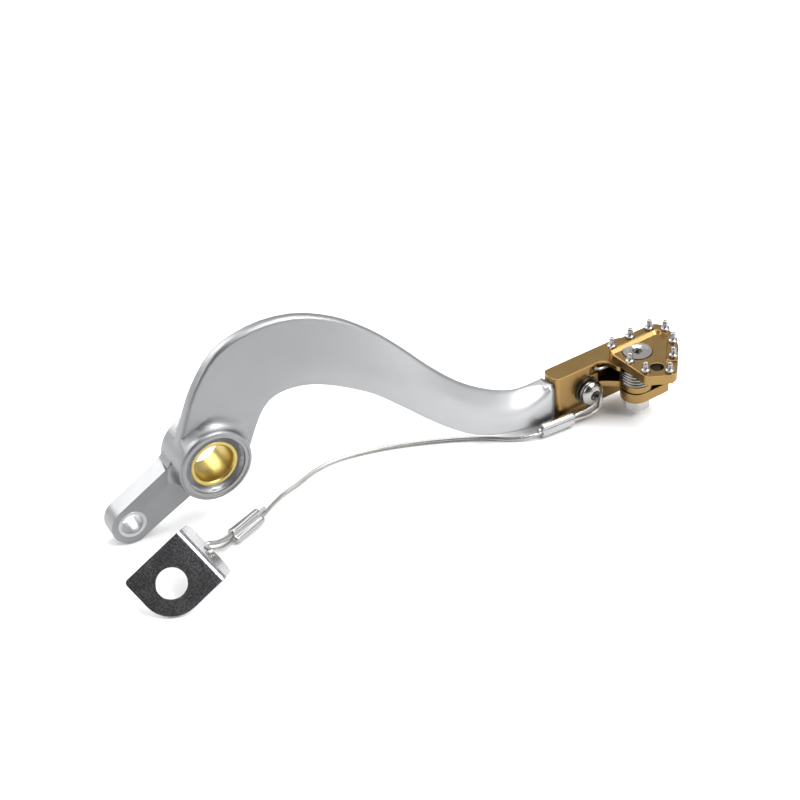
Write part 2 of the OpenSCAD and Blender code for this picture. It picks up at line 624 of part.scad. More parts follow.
// Bent steel tab: a face with a bolt hole and one corner round it, and a leaning flange with the eye's hole
module anchor_tab() {
    x = unit(TAB_ALONG);
    z = unit(cross(TAB_ALONG, TAB_ACROSS));
    y = cross(z, x);
    lean = [-sin(tab_lean), cos(tab_lean)];
    inward = [cos(tab_lean), sin(tab_lean)];
    start = tab_bend * tan((90 - tab_lean) / 2);
    bend_c = [start, tab_bend];
    color(steel)
    multmatrix([[x[0], y[0], z[0], TAB_CORNER[0]], [x[1], y[1], z[1], TAB_CORNER[1]],
                [x[2], y[2], z[2], TAB_CORNER[2]]])
    difference() {
        intersection() {
            rotate([90, 0, 90]) linear_extrude(tab_w) polygon(concat(
                [[tab_len, 0]], tab_arc(bend_c, tab_bend, 0, 90 - tab_lean), [lean * tab_flange],
                [lean * tab_flange + inward * tab_t], tab_arc(bend_c, tab_bend - tab_t, 90 - tab_lean, 0),
                [[tab_len, tab_t]]));
            slab(-1, tab_flange + tab_t) polygon(rounded([[0, -tab_flange / 2, 1], [tab_w, -tab_flange / 2, 1],
                                                          [tab_w, tab_len, tab_w / 2], [0, tab_len, 1.6]]));
            across(-tab_flange / 2, tab_len) polygon(rounded([[0, -1, 0.5], [tab_w, -1, 0.5],
                [tab_w, tab_flange * cos(tab_lean), 3.5], [0, tab_flange * cos(tab_lean), 3.5]]));
        }
        translate([tab_w / 2, tab_len - tab_w / 2, -1]) cylinder(d = tab_hole_d, h = tab_t + 2);
        rotate([tab_lean, 0, 0]) rod(TAB_EYE_HOLE[0], TAB_EYE_HOLE[1], TAB_EYE_HOLE[2] / 2, -1, tab_t + 1);
    }
}
// Arc of the tab's bend in its side view, from the face (angle 0) towards the flange
function tab_arc(c, r, from, to) =
    [for (k = [0:8]) let (a = from + (to - from) * k / 8) c - r * [sin(a), cos(a)]];

pedal_arm();
pivot_bush();
clevis_bush();
tip_bracket();
bracket_bolt();
bracket_washer();
foot_tip();
cleats();
tip_pivot_bolt();
tip_pivot_sleeve();
tip_pivot_nut();
tip_spring();
front_eye();
front_ferrule();
tether_cable();
rear_ferrule();
rear_eye();
rope_ends();
anchor_tab();
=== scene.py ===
"""Looks of the rear brake pedal: materials, broken edges, stranded wire rope, studio and camera."""
import json
import math

import bmesh
import bpy
from mathutils import Matrix, Vector
from mathutils.bvhtree import BVHTree


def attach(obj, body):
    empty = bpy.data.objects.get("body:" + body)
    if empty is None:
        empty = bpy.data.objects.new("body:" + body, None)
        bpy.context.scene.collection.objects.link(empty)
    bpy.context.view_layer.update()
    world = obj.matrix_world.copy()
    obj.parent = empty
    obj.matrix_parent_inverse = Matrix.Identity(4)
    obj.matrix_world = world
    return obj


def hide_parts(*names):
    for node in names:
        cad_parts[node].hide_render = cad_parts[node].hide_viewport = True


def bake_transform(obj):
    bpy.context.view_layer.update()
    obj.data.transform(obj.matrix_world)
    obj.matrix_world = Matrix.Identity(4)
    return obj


# Sizes and places are in millimetres, and angles in degrees, unless a comment says otherwise
MM = 0.001

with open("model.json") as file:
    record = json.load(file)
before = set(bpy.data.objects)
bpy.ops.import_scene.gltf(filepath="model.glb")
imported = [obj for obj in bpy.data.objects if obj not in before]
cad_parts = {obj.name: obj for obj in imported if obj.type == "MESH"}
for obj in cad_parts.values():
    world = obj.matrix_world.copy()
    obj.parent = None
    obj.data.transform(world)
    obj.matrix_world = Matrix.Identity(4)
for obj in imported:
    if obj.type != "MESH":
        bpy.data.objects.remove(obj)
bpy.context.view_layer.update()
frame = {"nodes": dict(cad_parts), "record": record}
nodes = frame["nodes"]
slot_of = {part["node"]: part["material_slot"] for part in frame["record"]["subparts"]}

# Camera at the photograph's place
CAMERA_AT = Vector((-144.9, -372.0, 277.0))
CAMERA_AZIMUTH = -31.6
CAMERA_ELEVATION = 32.8
CAMERA_LENS = 58.5
SENSOR_WIDTH = 36
NEAREST_SEEN = 10


def direction(azimuth, elevation):
    """Unit vector from the object towards a camera at these angles."""
    a, e = math.radians(azimuth), math.radians(elevation)
    return Vector((math.sin(a) * math.cos(e), -math.cos(a) * math.cos(e), math.sin(e)))


def make_camera():
    """Camera that looks at the object as the photographer's did."""
    back = direction(CAMERA_AZIMUTH, CAMERA_ELEVATION)
    right = Vector((0, 0, 1)).cross(back).normalized()
    up = back.cross(right)
    camera = bpy.data.objects.new("camera", bpy.data.cameras.new("camera"))
    camera.data.lens = CAMERA_LENS
    camera.data.sensor_width = SENSOR_WIDTH
    camera.data.clip_start = NEAREST_SEEN * MM
    turn = Matrix((right, up, back)).transposed().to_4x4()
    camera.matrix_world = Matrix.Translation(CAMERA_AT * MM) @ turn
    bpy.context.collection.objects.link(camera)
    bpy.context.scene.camera = camera


make_camera()

# The tip's own frame: its origin on the fold axis at the bracket's top face, and its upward pitch
TIP_ORIGIN = Vector((180.2, -30.7, -0.4))
TIP_PITCH = 5.9
INTO_TIP = Matrix.Rotation(math.radians(TIP_PITCH), 3, "Y")
OUT_OF_TIP = INTO_TIP.transposed()


def from_tip(points):
    """Points of the tip's own frame, placed in the object's frame."""
    return [TIP_ORIGIN + OUT_OF_TIP @ Vector(p) for p in points]


def in_tip(point):
    """A point of a mesh, which is in metres, placed in the tip's own frame."""
    return INTO_TIP @ (Vector(point) / MM - TIP_ORIGIN)


def smooth_path(points, step):
    """Catmull-Rom curve through the points, resampled at an even step, and its length."""
    pts = [Vector(p) for p in points]
    pieces_each = 16
    dense = []
    for i in range(len(pts) - 1):
        a, b = pts[max(i - 1, 0)], pts[i]
        c, d = pts[i + 1], pts[min(i + 2, len(pts) - 1)]
        for k in range(pieces_each):
            t = k / pieces_each
            dense.append(0.5 * (2 * b + (c - a) * t + (2 * a - 5 * b + 4 * c - d) * t * t
                                + (3 * b - a - 3 * c + d) * t ** 3))
    dense.append(pts[-1])
    hops = [(q - p).length for p, q in zip(dense, dense[1:])]
    length = sum(hops)
    count = max(2, round(length / step))
    out, walked, i = [dense[0]], 0.0, 0
    for n in range(1, count):
        goal = length * n / count
        while walked + hops[i] < goal:
            walked += hops[i]
            i += 1
        out.append(dense[i].lerp(dense[i + 1], (goal - walked) / hops[i]))
    out.append(dense[-1])
    return out, length


def heading(path, i):
    """Unit vector along the path at its point i, from the point before to the point after."""
    return (path[min(i + 1, len(path) - 1)] - path[max(i - 1, 0)]).normalized()


def sweep(path, side, section):
    """Rings of points along the path: section(walked) gives the points of one, along side and across it."""
    points, walked = [], 0.0
    for i, p in enumerate(path):
        ahead = heading(path, i)
        side = (side - side.dot(ahead) * ahead).normalized()
        cross = ahead.cross(side)
        if i:
            walked += (p - path[i - 1]).length
        points += [p + u * side + v * cross for u, v in section(walked)]
    return points


def tube_faces(rings, sides, base=0):
    """Faces between rings of points, counted from base, with a cap on each end."""
    faces = []
    for i in range(rings - 1):
        for k in range(sides):
            a, b = base + i * sides + k, base + i * sides + (k + 1) % sides
            faces.append((a, b, b + sides, a + sides))
    last = base + (rings - 1) * sides
    faces.append(tuple(base + k for k in reversed(range(sides))))
    faces.append(tuple(last + k for k in range(sides)))
    return faces


def mesh_object(mesh, smooth=True, sharp=None):
    """Object of a mesh, with its name. Edges over the sharp angle stay crisp."""
    for polygon in mesh.polygons:
        polygon.use_smooth = smooth
    if sharp is not None:
        mesh.set_sharp_from_angle(angle=math.radians(sharp))
    obj = bpy.data.objects.new(mesh.name, mesh)
    bpy.context.collection.objects.link(obj)
    return obj


def new_object(name, verts, faces, **settings):
    """Object of points in millimetres and the faces between them."""
    mesh = bpy.data.meshes.new(name)
    mesh.from_pydata([Vector(v) * MM for v in verts], [], faces)
    mesh.update()
    return mesh_object(mesh, **settings)


# Wire rope. The routes repeat the ones of the solids. The front eye's is in the tip's own frame.
ROPE_D = 1.7
ROUTE = [(137.4, -25, -24.6), (133, -24.4, -25.1), (129, -22.6, -25.9), (125, -20.1, -26.5),
         (121, -17.1, -26.6), (117, -14.1, -26.6), (112, -11, -26.6), (106, -8, -26.6), (99, -5, -26.6),
         (91, -2, -26.6), (83, 0.6, -26.6), (75, 2.6, -26.6), (67, 4, -26.6), (60, 4.7, -26.6),
         (53, 4.4, -26.6), (46.5, 2.9, -26.6), (41, 0.7, -26.6), (36.5, -1.4, -26.6), (32, -3, -26.6),
         (27.5, -4.9, -26.5), (23.4, -7.6, -26.1), (20, -10.1, -25.6), (16.6, -12.8, -25.2),
         (12.9, -15, -25)]
FRONT_EYE = [(-29.5, 5.7, -19.0), (-25, 5.9, -18.9), (-20.5, 6.2, -18.9), (-17.1, 6.5, -18.1),
             (-15.8, 6.7, -16.4), (-17.4, 6.75, -15.2), (-20.2, 6.75, -15.4), (-22.9, 6.75, -13.7),
             (-23.6, 6.75, -11), (-22.5, 6.75, -8.3), (-19.7, 6.75, -7.1), (-16.8, 6.75, -8.1),
             (-15, 6.75, -10.8), (-14, 6.7, -14.6), (-13.9, 6.5, -18.6), (-15.6, 6.2, -21.3),
             (-19.4, 6, -22.3), (-24.4, 5.8, -21.7), (-29.5, 5.7, -20.8)]
REAR_EYE = [(-0.2, -21, -25), (-3.4, -23.4, -24.4), (-7, -26.4, -22.6), (-9.9, -29.4, -20.1),
            (-12.4, -32, -17.6), (-14.2, -33.4, -16.1), (-16.3, -33.8, -16.3), (-17.5, -32.7, -17.6),
            (-17.2, -30.4, -18.7), (-15.9, -27.9, -19.1), (-13.9, -26.6, -18.5), (-12.1, -26.2, -18.7),
            (-9.4, -24.8, -20.6), (-5, -22.5, -22.6), (-0.7, -20, -23.6)]
FRONT_END = [(136.9, -25, -22.9), (135.2, -25.2, -23.0)]
REAR_END = [(12.5, -14, -23.6), (16.3, -12.2, -23.5)]

# Strands of the rope: how many show, the length of one turn, and the share of the radius that they ripple
STRANDS = 6
LAY_LENGTH = 11.0
RIPPLE = 0.07
ROPE_SIDES = 4 * STRANDS
ROPE_STEP = 0.3
# Any direction that no rope starts along
ROPE_SIDE = Vector((0.3, 0.2, 1))


def strands(walked):
    """Lobed section of the rope, which twists once in each lay length."""
    twist = 2 * math.pi * walked / LAY_LENGTH
    points = []
    for k in range(ROPE_SIDES):
        phase = 2 * math.pi * k / ROPE_SIDES
        r = ROPE_D / 2 * (1 - RIPPLE + RIPPLE * abs(math.cos(STRANDS * phase / 2)))
        points.append((r * math.cos(phase + twist), r * math.sin(phase + twist)))
    return points


def rope(name, routes):
    """Stranded wire rope along each of the routes."""
    verts, faces = [], []
    for points in routes:
        path = smooth_path(points, ROPE_STEP)[0]
        faces += tube_faces(len(path), ROPE_SIDES, len(verts))
        verts += sweep(path, ROPE_SIDE, strands)
    return new_object(name, verts, faces)


# The tether runs on through the rear ferrule, round the tab's hole and back into the ferrule
TETHER = ROUTE + REAR_EYE
tether = rope("tether_rope", [TETHER])
front_loop = rope("front_rope_eye", [from_tip(FRONT_EYE)])
cut_ends = rope("rope_cut_ends", [FRONT_END, REAR_END])
ropes = (tether, front_loop, cut_ends)
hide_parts("tether_cable", "rear_eye")
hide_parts("front_eye")
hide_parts("rope_ends")
for piece in ropes:
    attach(piece, "arm")

# Ferrules: their two ends, the front one's in the tip's own frame, and the direction from strand to strand
FRONT_FERRULE = from_tip([(-29, 5.7, -19.9), (-45.6, 5.7, -18.8)])
FRONT_ACROSS = OUT_OF_TIP @ Vector((0, 0, 1))
REAR_FERRULE = [(13.2, -14.3, -24.3), (-0.9, -20.8, -24.3)]
REAR_ACROSS = (-0.27, 0.58, 0.77)
FERRULE_W = 6.4
FERRULE_T = 3.8
# Waist between the strands: the share of the thickness that it loses, and its half width
WAIST_DEPTH = 0.5
WAIST_W = 1.0
# Rolled end: distance from the end, and share of the full section there. The middle is crimped a little.
ROLLED_END = [(0.0, 0.72), (0.0, 0.84), (0.12, 0.93), (0.45, 0.995), (0.9, 1.0)]
CRIMPED = 0.985


def ferrule_outline():
    """Section of a ferrule: a half round over each strand, and flats with a waist between them."""
    r, gap = FERRULE_T / 2, (FERRULE_W - FERRULE_T) / 2
    round_steps, flat_steps = 16, 8
    half = []
    for k in range(round_steps + 1):
        t = math.pi * (k / round_steps - 0.5)
        half.append((gap + r * math.cos(t), r * math.sin(t)))
    half += [(gap - 2 * gap * k / flat_steps, r) for k in range(1, flat_steps)]
    outline = half + [(-u, -v) for u, v in half]
    return [(u, v * (1 - WAIST_DEPTH * math.exp(-(u / WAIST_W) ** 2))) for u, v in outline]


def ferrule(name, ends, across):
    """Crimped double sleeve with rolled ends, waisted between its two strands."""
    a, b = Vector(ends[0]), Vector(ends[1])
    z = (b - a).normalized()
    x = (Vector(across) - Vector(across).dot(z) * z).normalized()
    y = z.cross(x)
    length = (b - a).length
    outline = ferrule_outline()
    rings = ROLLED_END + [(length / 2, CRIMPED)] + [(length - w, f) for w, f in reversed(ROLLED_END)]
    verts = [a + w * z + (u * f) * x + (v * f) * y for w, f in rings for u, v in outline]
    return new_object(name, verts, tube_faces(len(rings), len(outline)))


front_sleeve = ferrule("front_crimp", FRONT_FERRULE, FRONT_ACROSS)
rear_sleeve = ferrule("rear_crimp", REAR_FERRULE, REAR_ACROSS)
for piece, node in ((front_sleeve, "front_ferrule"), (rear_sleeve, "rear_ferrule")):
    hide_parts(node)
    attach(piece, "arm")

# Sections of the two bushes as (radius, y) points, with broken edges, and the middles that they turn about
BORE_BUSH = [(7.5, -6.8), (7.75, -7.25), (8.1, -7.5), (9.1, -7.5), (9.3, -7.3), (9.3, 7.5), (7.9, 7.5),
             (7.5, 7.1)]
BORE_BUSH_AT = Vector((0, 0.25, 0))
LUG_BUSH = [(4.1, -3.65), (4.2, -3.85), (4.5, -4.0), (5.4, -4.0), (5.5, -3.9), (5.5, 4.0), (4.5, 4.0),
            (4.1, 3.6)]
LUG_BUSH_AT = Vector((-31.6, 2.75, -19.0))
TURNED_SIDES = 128
# Edges over this angle stay crisp on turned pieces and on copies of CAD nodes
CRISP = 32


def turned(name, profile, centre):
    """Ring turned about an axis along Y through the centre, from (radius, y) points of its section."""
    verts, faces = [], []
    for r, y in profile:
        for k in range(TURNED_SIDES):
            t = 2 * math.pi * k / TURNED_SIDES
            verts.append(centre + Vector((r * math.cos(t), y, r * math.sin(t))))
    for i in range(len(profile)):
        row, after = i * TURNED_SIDES, (i + 1) % len(profile) * TURNED_SIDES
        for k in range(TURNED_SIDES):
            m = (k + 1) % TURNED_SIDES
            faces.append((row + k, after + k, after + m, row + m))
    return new_object(name, verts, faces, sharp=CRISP)


bushes = {
    "pivot_bush": turned("turned_pivot_bush", BORE_BUSH, BORE_BUSH_AT),
    "clevis_bush": turned("turned_clevis_bush", LUG_BUSH, LUG_BUSH_AT),
}

# Edges that are broken: from this angle on, with a rounding of this many facets
BROKEN_FROM = 28
BROKEN_FACETS = 2
# Corners nearer to each other than this, in metres, become one, and so do faces at less than this angle
SAME_PLACE = 2e-6
SAME_PLANE = 0.05


def finished(node, width=0.0, wide=None, wide_width=0.0):
    """Copy of a CAD node with smooth curved faces, to stand for it.

    Its sharp edges are broken by width, and those that the test called wide is true for by wide_width.
    """
    work = bmesh.new()
    work.from_mesh(nodes[node].data)
    bmesh.ops.remove_doubles(work, verts=work.verts, dist=SAME_PLACE)
    if width:
        bmesh.ops.dissolve_limit(work, angle_limit=math.radians(SAME_PLANE), verts=[], edges=work.edges)
    if width or wide:
        sharp = [e for e in work.edges if len(e.link_faces) == 2
                 and e.calc_face_angle(0.0) > math.radians(BROKEN_FROM)]
        broad = [e for e in sharp if wide and wide(e)]
        for edge in sharp:
            edge.seam = edge not in broad
        settings = dict(segments=BROKEN_FACETS, offset_type="OFFSET", profile=0.5, affect="EDGES",
                        clamp_overlap=False)
        if broad:
            bmesh.ops.bevel(work, geom=broad, offset=wide_width * MM, **settings)
        if width:
            rest = [e for e in work.edges if e.seam]
            bmesh.ops.bevel(work, geom=rest, offset=width * MM, **settings)
    mesh = bpy.data.meshes.new(node + "_finished")
    work.to_mesh(mesh)
    work.free()
    obj = mesh_object(mesh, sharp=CRISP)
    weighted = obj.modifiers.new("even_faces", "WEIGHTED_NORMAL")
    weighted.keep_sharp = True
    return obj


# Top of the foot tip's rim and a point inside its recess, in the tip's own frame
RIM_TOP = 5.5
RECESS_MIDDLE = Vector((2, -4, 0))
RIM_SLACK = 0.05
# Largest upward part of the normal of a wall that counts as upright
UPRIGHT = 0.1


def recess_edge(edge):
    """True for the top edge of the wall round the foot tip's recess."""
    ends = [in_tip(v.co) for v in edge.verts]
    if any(abs(p.z - RIM_TOP) > RIM_SLACK for p in ends):
        return False
    outward = (ends[0] + ends[1]) / 2 - RECESS_MIDDLE
    normals = [INTO_TIP @ face.normal for face in edge.link_faces]
    return any(abs(n.z) < UPRIGHT and n.dot(outward) < 0 for n in normals)


# The two round edges of the stepped seal recess in the boss, as (radius, y)
SEAL_EDGES = [(13.1, -9.25), (11.7, -8.75)]
SEAL_SLACK = 0.06


def seal_step(edge):
    """True for the round edges of the seal recess."""
    ends = [(math.hypot(v.co.x, v.co.z) / MM, v.co.y / MM) for v in edge.verts]
    return any(all(abs(r - seal_r) < SEAL_SLACK and abs(y - seal_y) < SEAL_SLACK for r, y in ends)
               for seal_r, seal_y in SEAL_EDGES)


# Torsion spring, in the tip's own frame: a smooth round wire
WIRE_D = 1.3
WIRE_SIDES = 12
COIL_R = 6.6
COIL_TOP = -2.3
COIL_PITCH = 1.38
COILS = 5
COIL_STEPS = 48
REAR_LEG = [(-15.4, 9.9), (-15.3, 8.6), (-14.4, 7.4), (-12.4, 6.9), (-9, COIL_R + 0.15), (-5, COIL_R),
            (-1.2, COIL_R)]
REAR_LEG_STEP = 0.5
# Length of the front leg and of one piece of it
FRONT_LEG = 8
FRONT_LEG_STEP = 2


def wire_section(walked):
    """Round section of the wire, the same all along."""
    turns = [2 * math.pi * k / WIRE_SIDES for k in range(WIRE_SIDES)]
    return [(WIRE_D / 2 * math.cos(t), WIRE_D / 2 * math.sin(t)) for t in turns]


def spring():
    """Rear leg, coils and front leg of the torsion spring as one wire."""
    coil = []
    for k in range(COILS * COIL_STEPS + 1):
        t = math.radians(90 - 360 * k / COIL_STEPS)
        coil.append((COIL_R * math.cos(t), COIL_R * math.sin(t), COIL_TOP - COIL_PITCH * k / COIL_STEPS))
    x, y, z = coil[-1]
    rear = smooth_path([(u, v, COIL_TOP) for u, v in REAR_LEG], REAR_LEG_STEP)[0]
    front = [(x + u, y, z) for u in range(FRONT_LEG_STEP, FRONT_LEG + 1, FRONT_LEG_STEP)]
    path = from_tip(rear + coil + front)
    verts = sweep(path, Vector((0, 0, 1)), wire_section)
    return new_object("wound_spring", verts, tube_faces(len(path), WIRE_SIDES))


wound = spring()
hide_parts("tip_spring")
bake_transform(wound)

# Sloping edge inside the foot tip's rim, in the tip's own frame: its line, as corners (x, y, radius), and
# its section. The line's first leg runs along the outer side, and its second along the front.
SLOPE_LINE = [(-9.2, 5.7, 0), (16.6, 6.2, 2.8), (15.5, -0.6, 0)]
SLOPE_W = 1.35
SLOPE_TOP = 5.52
SLOPE_FLOOR = 4.4
# How far it reaches back under the rim
SLOPE_BACK = 0.2
# Where the first leg ends, the length over which the second one narrows, and the share of width at its end
FIRST_LEG_X = 14.5
FIRST_LEG_Y = 5
NARROWING = 6.2
NARROW_END = 0.05
SLOPE_CRISP = 25


def rounded_path(corners, steps=10):
    """Open path through corners (x, y, radius), each one but the ends rounded by an arc."""
    out = [Vector(corners[0][:2])]
    for a, b, c in zip(corners, corners[1:], corners[2:]):
        q = Vector(b[:2])
        u, v = (Vector(a[:2]) - q).normalized(), (Vector(c[:2]) - q).normalized()
        half = u.angle(v) / 2
        centre = q + (u + v).normalized() * b[2] / math.sin(half)
        start = q + u * b[2] / math.tan(half) - centre
        end = q + v * b[2] / math.tan(half) - centre
        turn = math.atan2(start.x * end.y - start.y * end.x, start.dot(end))
        for k in range(steps + 1):
            t = turn * k / steps
            out.append(centre + Vector((start.x * math.cos(t) - start.y * math.sin(t),
                                        start.x * math.sin(t) + start.y * math.cos(t))))
    out.append(Vector(corners[-1][:2]))
    return out


def slope_share(p):
    """Share of its full width that the sloping edge has at a point of its line."""
    if p.x < FIRST_LEG_X and p.y > FIRST_LEG_Y:
        return 1.0
    return max(NARROW_END, (p.y - SLOPE_LINE[-1][1]) / NARROWING)


def recess_slope():
    """The sloping edge between the rim of the foot tip and the floor of its recess."""
    line = rounded_path(SLOPE_LINE)
    verts = []
    for i, p in enumerate(line):
        ahead = heading(line, i)
        inward = Vector((ahead.y, -ahead.x))
        foot = p + inward * SLOPE_W * slope_share(p)
        back = p - inward * SLOPE_BACK
        verts += [(back.x, back.y, SLOPE_TOP), (p.x, p.y, SLOPE_TOP), (foot.x, foot.y, SLOPE_FLOOR),
                  (back.x, back.y, SLOPE_FLOOR)]
    # The section runs clockwise, so each face is turned over to point outwards
    faces = [face[:1] + face[:0:-1] for face in tube_faces(len(line), 4)]
    return new_object("recess_slope", from_tip(verts), faces, sharp=SLOPE_CRISP)


slope = recess_slope()
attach(slope, "tip")

# Pieces that stand for one CAD node each, with its form: turned bushes, and copies with broken edges
TIP_NODES = ("foot_tip", "cleats", "tip_pivot_bolt", "tip_pivot_sleeve", "tip_pivot_nut")
pieces = {
    **bushes,
    "pedal_arm": finished("pedal_arm", wide=seal_step, wide_width=0.2),
    "tip_bracket": finished("tip_bracket", 0.4),
    "foot_tip": finished("foot_tip", 0.35, wide=recess_edge, wide_width=0.9),
    "anchor_tab": finished("anchor_tab", 0.3),
    "bracket_washer": finished("bracket_washer", 0.15),
    "tip_pivot_nut": finished("tip_pivot_nut", 0.12),
    "tip_pivot_bolt": finished("tip_pivot_bolt"),
    "bracket_bolt": finished("bracket_bolt"),
    "cleats": finished("cleats"),
}
for name, piece in pieces.items():
    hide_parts(name)
    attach(piece, "tip" if name in TIP_NODES else "arm")

# Hollow fillets between the boss and the blade. Their top lies round the boss, at this radius and at this
# distance from its middle plane, and their foot on the blade's face.
FILLET_R = 14.4
FILLET_TOP = 8.2
FILLET_WIDEST = 6.0
FILLET_NARROWEST = 0.3
FILLET_TRIES = 24
# Stations round the boss: the first angle, the step, their number, and how much wider the next one may be
FIRST_STATION = -30
STATION_STEP = 3
STATIONS = 78
WIDER_EACH = 0.45
# A foot lies on a face at this distance from the middle plane, nearly square to Y, with room beside the foot
FACE_NEAREST = 1.0
FACE_FARTHEST = {-1: 7.0, 1: 4.5}
FACE_SQUARE = 0.93
FOOT_ROOM = 0.3
# Section: how far it reaches into the boss and into the blade, and the step that its foot keeps over the face
INTO_BOSS = 0.6
INTO_BLADE = 0.4
FOOT_STEP = 0.02
HOLLOW_STEPS = 10
FILLET_CRISP = 40
# Where the rays that look for the face start, as a distance from the middle plane
RAYS_FROM = 30


def round_boss(r, angle, y):
    """Point at this radius and angle round the pivot's axis."""
    return (r * math.cos(angle), y, r * math.sin(angle))


def fillet_foot(tree, side, angle):
    """Width of the fillet and y of its foot at this angle round the boss, with no width where none fits."""
    for k in range(FILLET_TRIES):
        width = FILLET_WIDEST * (1 - k / FILLET_TRIES)
        start = Vector(round_boss(FILLET_R + width + FOOT_ROOM, angle, RAYS_FROM * side)) * MM
        place, normal, index, distance = tree.ray_cast(start, Vector((0, -side, 0)))
        if place is None or normal.y * side <= FACE_SQUARE:
            continue
        if FACE_NEAREST < place.y * side / MM < FACE_FARTHEST[side]:
            return width, place.y / MM
    return 0.0, FILLET_TOP * side


def eased(widths):
    """The same widths, none of them much wider than its neighbours."""
    widths = list(widths)
    for i in range(1, len(widths)):
        widths[i] = min(widths[i], widths[i - 1] + WIDER_EACH)
    for i in reversed(range(len(widths) - 1)):
        widths[i] = min(widths[i], widths[i + 1] + WIDER_EACH)
    return widths


def fillet_section(width, foot, side):
    """Closed section of the fillet as (radius, y) points: a hollow quarter, backed into boss and blade."""
    top = FILLET_TOP * side
    drop = foot + FOOT_STEP * side - top
    buried = foot - INTO_BLADE * side
    section = [(FILLET_R - INTO_BOSS, top)]
    for k in range(HOLLOW_STEPS + 1):
        t = math.pi / 2 * k / HOLLOW_STEPS
        section.append((FILLET_R + width * (1 - math.cos(t)), top + drop * math.sin(t)))
    return section + [(FILLET_R + width, buried), (FILLET_R - INTO_BOSS, buried)]


def boss_fillet(name, side):
    """Hollow blend from the boss's rim to one face of the blade: side is -1 outboard and 1 inboard."""
    mesh = pieces["pedal_arm"].data
    tree = BVHTree.FromPolygons([v.co for v in mesh.vertices], [p.vertices for p in mesh.polygons])
    angles = [math.radians(FIRST_STATION + STATION_STEP * k) for k in range(STATIONS)]
    feet = [fillet_foot(tree, side, angle) for angle in angles]
    widths = eased(width for width, foot in feet)
    kept = [i for i, width in enumerate(widths) if width > FILLET_NARROWEST]
    rings = []
    for i in range(kept[0], kept[-1] + 1):
        section = fillet_section(widths[i], feet[i][1], side)
        rings.append([round_boss(r, angles[i], y) for r, y in section])
    if side > 0:
        # The inboard section is a mirror image, so its rings go the other way for faces that point outwards
        rings.reverse()
    faces = tube_faces(len(rings), len(rings[0]))
    obj = new_object(name, [p for ring in rings for p in ring], faces, sharp=FILLET_CRISP)
    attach(obj, "arm")
    return obj


fillets = [boss_fillet("outboard_fillet", -1), boss_fillet("inboard_fillet", 1)]

path, rope_length = smooth_path(TETHER, 1.0)


class Nodes:
    """A material's node tree, with short calls to add and link nodes."""

    def __init__(self, name):
        self.material = bpy.data.materials.new(name)
        self.material.use_nodes = True
        self.tree = self.material.node_tree
        self.shader = self.tree.nodes["Principled BSDF"]
        self.place = self.add("ShaderNodeTexCoord").outputs["Object"]

    def add(self, kind, inputs=None, **settings):
        """New node of a kind. Each of its inputs gets a value, or a link from a socket."""
        node = self.tree.nodes.new(kind)
        for key, value in settings.items():
            setattr(node, key, value)
        for key, value in (inputs or {}).items():
            self.feed(node.inputs[key], value)
        return node

    def feed(self, socket, value):
        """Links the value to the socket where it is a socket itself, and sets it otherwise."""
        if isinstance(value, bpy.types.NodeSocket):
            self.tree.links.new(value, socket)
        else:
            socket.default_value = value

    def noise(self, scale, detail, rough=0.5, stretch=None):
        """Noise from 0 to 1, drawn out where stretch gives a scale for each axis."""
        place = self.place
        if stretch:
            place = self.add("ShaderNodeMapping", {"Vector": place, "Scale": stretch}).outputs[0]
        return self.add("ShaderNodeTexNoise", {"Vector": place, "Scale": scale, "Detail": detail,
                                               "Roughness": rough}).outputs["Fac"]

    def ramp(self, value, low, high, to_low=0.0, to_high=1.0):
        """The value's stretch from low to high, mapped to another stretch and clipped to it."""
        return self.add("ShaderNodeMapRange", {0: value, 1: low, 2: high, 3: to_low, 4: to_high}).outputs[0]

    def mix(self, share, a, b):
        """Colour a, or b where the share is 1. A mix node has its colours at 6 and 7, and the mix at 2."""
        return self.add("ShaderNodeMix", {0: share, 6: a, 7: b}, data_type="RGBA").outputs[2]

    def set(self, name, value):
        """Gives one input of the shader its value."""
        self.feed(self.shader.inputs[name], value)

    def bump(self, height, distance):
        """Relief of this height in metres."""
        node = self.add("ShaderNodeBump", {"Height": height, "Distance": distance, "Strength": 1.0})
        self.set("Normal", node.outputs[0])


# Noise of the metals: scale and detail, and the band of its values that goes from one tone to the other
CLOUDS = (60.0, 4.0)
CLOUD_BAND = (0.35, 0.65)
GLOSS = (150.0, 5.0)
GLOSS_BAND = (0.3, 0.7)
GRAIN_DETAIL = (3.0, 0.6)
SPECK_DETAIL = (2.0, 0.7)
SPECK_BAND = (0.44, 0.60)
SPECK_TONE = 0.6
STREAK_BAND = (0.42, 0.62)
STREAK_TONE = 0.72
STREAK_SHARE = 0.5


def colour(rgb, share=1.0):
    """Colour for a socket, darkened to a share of itself."""
    return tuple(share * c for c in rgb) + (1.0,)


